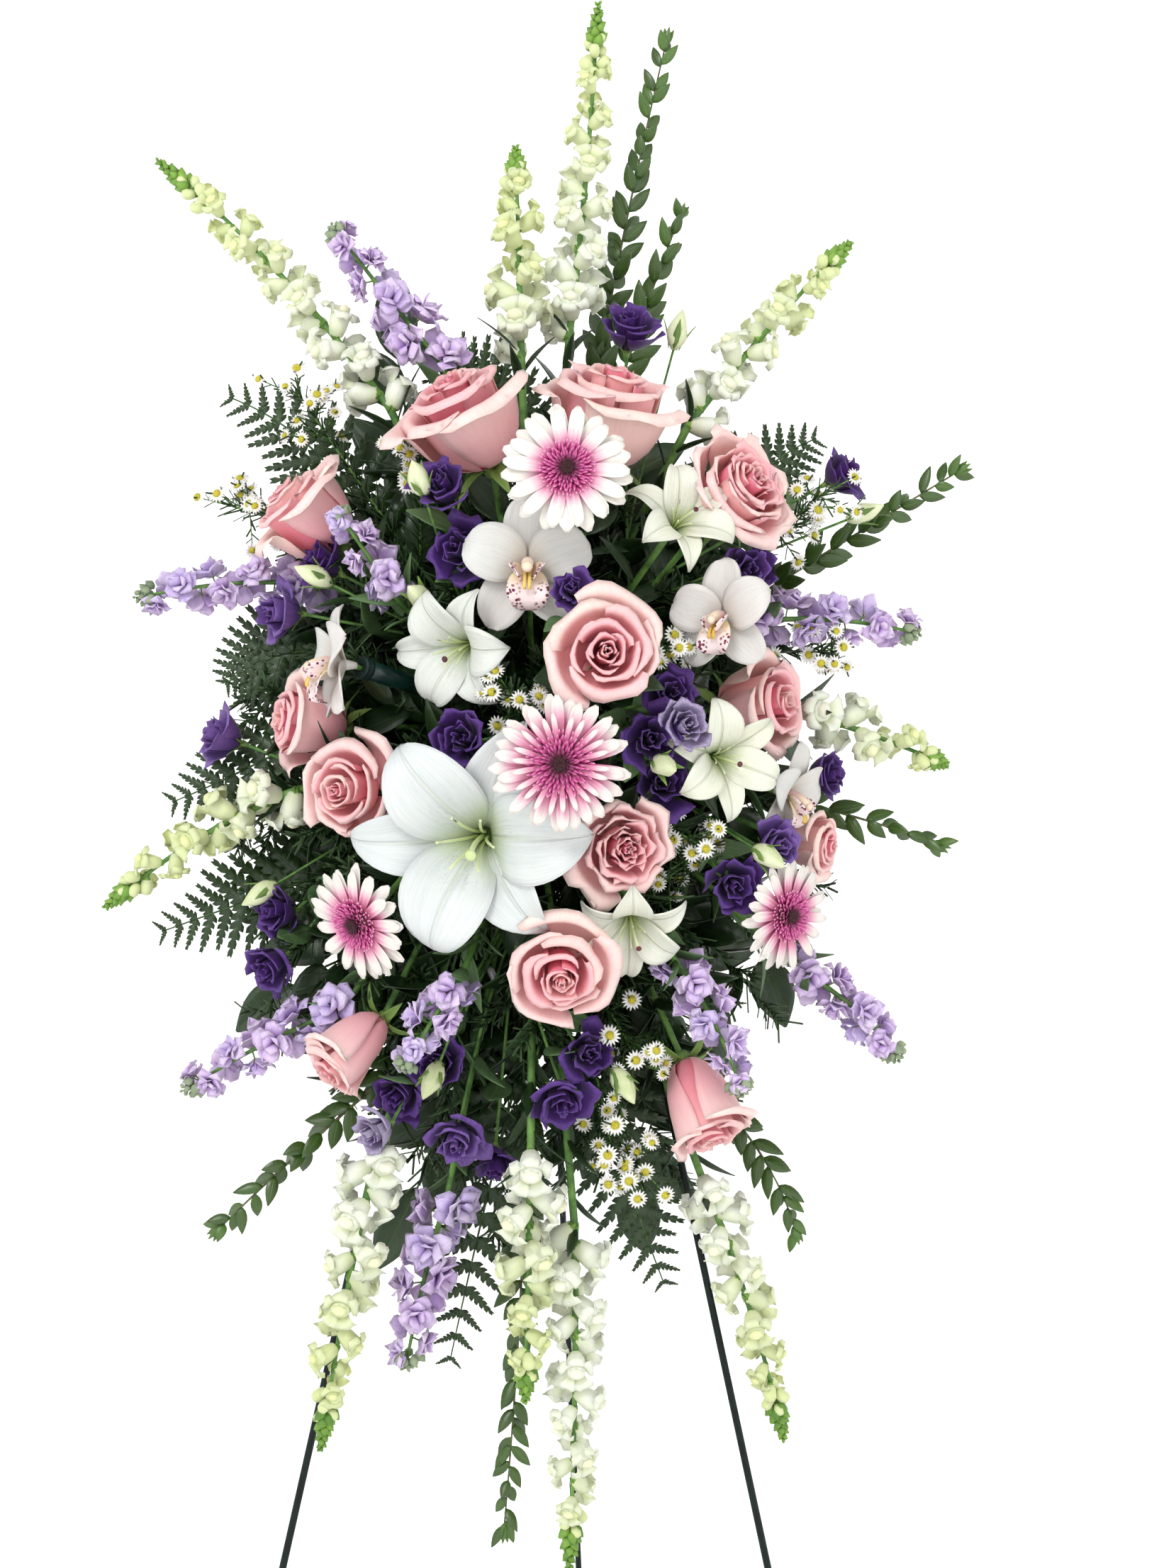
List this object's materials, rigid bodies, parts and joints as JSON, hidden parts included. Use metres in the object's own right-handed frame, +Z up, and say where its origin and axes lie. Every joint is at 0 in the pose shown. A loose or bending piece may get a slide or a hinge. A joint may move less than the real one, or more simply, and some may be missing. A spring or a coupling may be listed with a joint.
{
  "type": "standing funeral spray",
  "caption": "Standing funeral spray: cut flowers and greens in a caged foam brick, fanned out in front of a folding three-legged wire easel.",
  "frame": {"origin": "on the floor, under the middle of the whole object's box", "axes": "+Z up, +X to the right as one faces the flowers, -Y towards the viewer"},
  "size_m": [0.72, 0.6834, 1.852],
  "materials": {
    "aster": "small white daisies",
    "wire": "satin dark green wire",
    "fern": "dark green fronds",
    "foam": "wet green foam",
    "cage": "moulded dark green plastic",
    "gerbera": "white rays, near-black centre",
    "lily": "white petals with a green throat",
    "lisianthus": "violet petals",
    "myrtle": "glossy dark green leaves",
    "orchid": "waxy white petals",
    "tube": "dark plastic water tube",
    "rose": "blush petals, deeper at the heart",
    "snapdragon": "white florets on light green stems",
    "stock": "lavender florets"
  },
  "bodies": {
    "stand": {"aster": "aster", "easel_front_frame": "wire", "fern_and_leaves": "fern", "foam_brick": "foam", "foam_cage": "cage", "gerbera_centre": "gerbera", "gerbera_left": "gerbera", "gerbera_right": "gerbera", "gerbera_top": "gerbera", "lily_large": "lily", "lily_low": "lily", "lily_middle_left": "lily", "lily_right": "lily", "lily_upper_right": "lily", "lisianthus_centre": "lisianthus", "lisianthus_left": "lisianthus", "lisianthus_low": "lisianthus", "lisianthus_right": "lisianthus", "lisianthus_top_right": "lisianthus", "lisianthus_upper_left": "lisianthus", "myrtle": "myrtle", "orchid_left": "orchid", "orchid_low_right": "orchid", "orchid_right": "orchid", "orchid_top": "orchid", "orchid_water_tube": "tube", "rose_bud_low_left": "rose", "rose_centre": "rose", "rose_far_left": "rose", "rose_left": "rose", "rose_low_centre": "rose", "rose_low_right": "rose", "rose_lower_left": "rose", "rose_right": "rose", "rose_small_far_right": "rose", "rose_small_right": "rose", "rose_top": "rose", "rose_top_left": "rose", "rose_upper_right": "rose", "snapdragon_bottom": "snapdragon", "snapdragon_bottom_centre": "snapdragon", "snapdragon_bottom_left": "snapdragon", "snapdragon_bottom_right": "snapdragon", "snapdragon_far_top_left": "snapdragon", "snapdragon_left": "snapdragon", "snapdragon_right": "snapdragon", "snapdragon_top": "snapdragon", "snapdragon_top_left": "snapdragon", "snapdragon_top_right": "snapdragon", "stock_bottom": "stock", "stock_centre_low": "stock", "stock_far_left": "stock", "stock_far_right": "stock", "stock_lower_left": "stock", "stock_lower_right": "stock", "stock_middle_left": "stock", "stock_right": "stock", "stock_top_left": "stock"},
    "rear_leg": {"easel_rear_leg": "wire"}
  },
  "joints": [
    {"name": "rear_leg_hinge", "type": "hinge", "parent": "stand", "child": "rear_leg", "pos_m": [0, -0.001, 1.43], "axis": [1, 0, 0], "range_deg": [-22, 0]}
  ]
}
